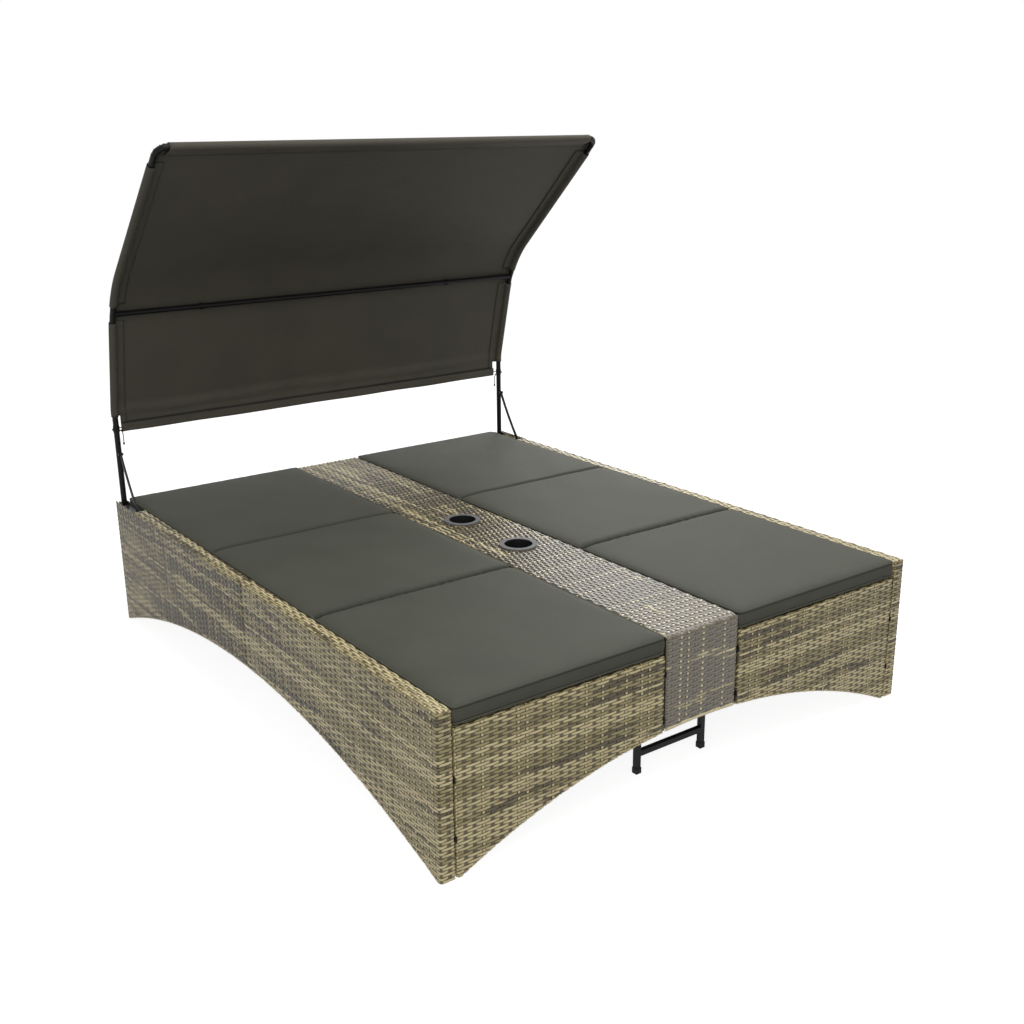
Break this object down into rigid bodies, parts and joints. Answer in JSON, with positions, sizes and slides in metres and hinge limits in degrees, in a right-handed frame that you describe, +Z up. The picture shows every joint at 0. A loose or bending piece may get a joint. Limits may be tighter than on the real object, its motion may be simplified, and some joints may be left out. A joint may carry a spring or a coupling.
{
  "type": "outdoor daybed with canopy",
  "caption": "Outdoor daybed with side-by-side reclining cushions, a woven resin base, a centre console with cup holders, and a canopy that folds back.",
  "frame": {"origin": "on the floor under the middle of the base", "axes": "+Y towards the head end under the canopy, +Z up, and -X is the left side"},
  "size_m": [1.615, 2, 1.6017],
  "materials": {
    "woven_resin": "satin flat strands, tan and grey-brown, plain woven",
    "console_resin": "glossy flat strands, dark grey-brown with light ones, plain woven",
    "black_steel": "satin black powder coat",
    "bright_steel": "plain plated steel",
    "black_plastic": "matt black moulding",
    "grey_plastic": "satin grey moulding",
    "seat_cloth": "dark grey-green polyester, plain weave",
    "canopy_cloth": "dark brown-grey polyester, plain weave",
    "cord": "thin dark braided cord"
  },
  "bodies": {
    "root": {"console_foot": "console_resin", "console_head": "console_resin", "cup_holder_foot": "grey_plastic", "cup_holder_head": "grey_plastic", "leg_frame_foot": "black_steel", "leg_frame_head": "black_steel", "leg_cap_foot_left": "black_plastic", "leg_cap_foot_right": "black_plastic", "leg_cap_head_left": "black_plastic", "leg_cap_head_right": "black_plastic", "side_panel_left_foot": "woven_resin", "side_panel_left_head": "woven_resin", "side_panel_right_foot": "woven_resin", "side_panel_right_head": "woven_resin", "side_splice_left": "black_steel", "side_splice_right": "black_steel", "foot_panel_left": "woven_resin", "foot_panel_right": "woven_resin", "head_panel_left": "woven_resin", "head_panel_right": "woven_resin", "seam_hooks_left_outer": "black_plastic", "seam_hooks_left_inner": "black_plastic", "seam_hooks_right_outer": "black_plastic", "seam_hooks_right_inner": "black_plastic", "post_bracket_left": "bright_steel", "post_bracket_right": "bright_steel", "pivot_bolt_left": "black_steel", "pivot_bolt_right": "black_steel", "seat_deck_left": "woven_resin", "seat_deck_right": "woven_resin", "hinge_rod_left": "bright_steel", "hinge_rod_right": "bright_steel", "prop_rack_left": "black_steel", "prop_rack_right": "black_steel", "cushion_seat_left": "seat_cloth", "cushion_seat_right": "seat_cloth", "cushion_crease_left": "seat_cloth", "cushion_crease_right": "seat_cloth"},
    "backrest_left": {"backrest_deck_left": "woven_resin", "cushion_back_left": "seat_cloth"},
    "backrest_right": {"backrest_deck_right": "woven_resin", "cushion_back_right": "seat_cloth"},
    "prop_left": {"backrest_prop_left": "black_steel"},
    "prop_right": {"backrest_prop_right": "black_steel"},
    "canopy": {"canopy_fabric": "canopy_cloth", "canopy_top_bar": "black_steel", "canopy_mid_bar": "bright_steel", "canopy_post_left": "black_steel", "canopy_post_right": "black_steel", "canopy_side_tube_left": "black_steel", "canopy_side_tube_right": "black_steel", "canopy_elbow_left": "black_steel", "canopy_elbow_right": "black_steel", "stay_bolt_left": "black_steel", "stay_bolt_right": "black_steel", "canopy_tie_left": "cord", "canopy_tie_right": "cord"},
    "stay_left": {"canopy_stay_left": "black_steel"},
    "stay_right": {"canopy_stay_right": "black_steel"}
  },
  "joints": [
    {"name": "backrest_left_tilt", "type": "hinge", "parent": "root", "child": "backrest_left", "pos_m": [-0.44675, 0.296, 0.37015], "axis": [1, 0, 0], "range_deg": [0, 60], "deforming": ["cushion_crease_left"]},
    {"name": "backrest_right_tilt", "type": "hinge", "parent": "root", "child": "backrest_right", "pos_m": [0.44675, 0.296, 0.37015], "axis": [1, 0, 0], "range_deg": [0, 60], "deforming": ["cushion_crease_right"]},
    {"name": "prop_left_swing", "type": "hinge", "parent": "backrest_left", "child": "prop_left", "pos_m": [-0.44675, 0.60557, 0.35393], "axis": [-1, 0, 0], "range_deg": [0, 120]},
    {"name": "prop_right_swing", "type": "hinge", "parent": "backrest_right", "child": "prop_right", "pos_m": [0.44675, 0.60557, 0.35393], "axis": [-1, 0, 0], "range_deg": [0, 120]},
    {"name": "canopy_fold", "type": "hinge", "parent": "root", "child": "canopy", "pos_m": [0, 0.978, 0.4195], "axis": [-1, 0, 0], "range_deg": [0, 90]},
    {"name": "stay_left_swing", "type": "hinge", "parent": "canopy", "child": "stay_left", "pos_m": [-0.787, 0.962, 0.596], "axis": [1, 0, 0], "range_deg": [0, 27.4]},
    {"name": "stay_right_swing", "type": "hinge", "parent": "canopy", "child": "stay_right", "pos_m": [0.787, 0.962, 0.596], "axis": [1, 0, 0], "range_deg": [0, 27.4]}
  ],
  "couplings": [
    {"joint": "prop_left_swing", "follows": "backrest_left_tilt", "ratio": 2},
    {"joint": "prop_right_swing", "follows": "backrest_right_tilt", "ratio": 2},
    {"joint": "stay_left_swing", "follows": "canopy_fold", "ratio": 0.30444},
    {"joint": "stay_right_swing", "follows": "canopy_fold", "ratio": 0.30444}
  ]
}
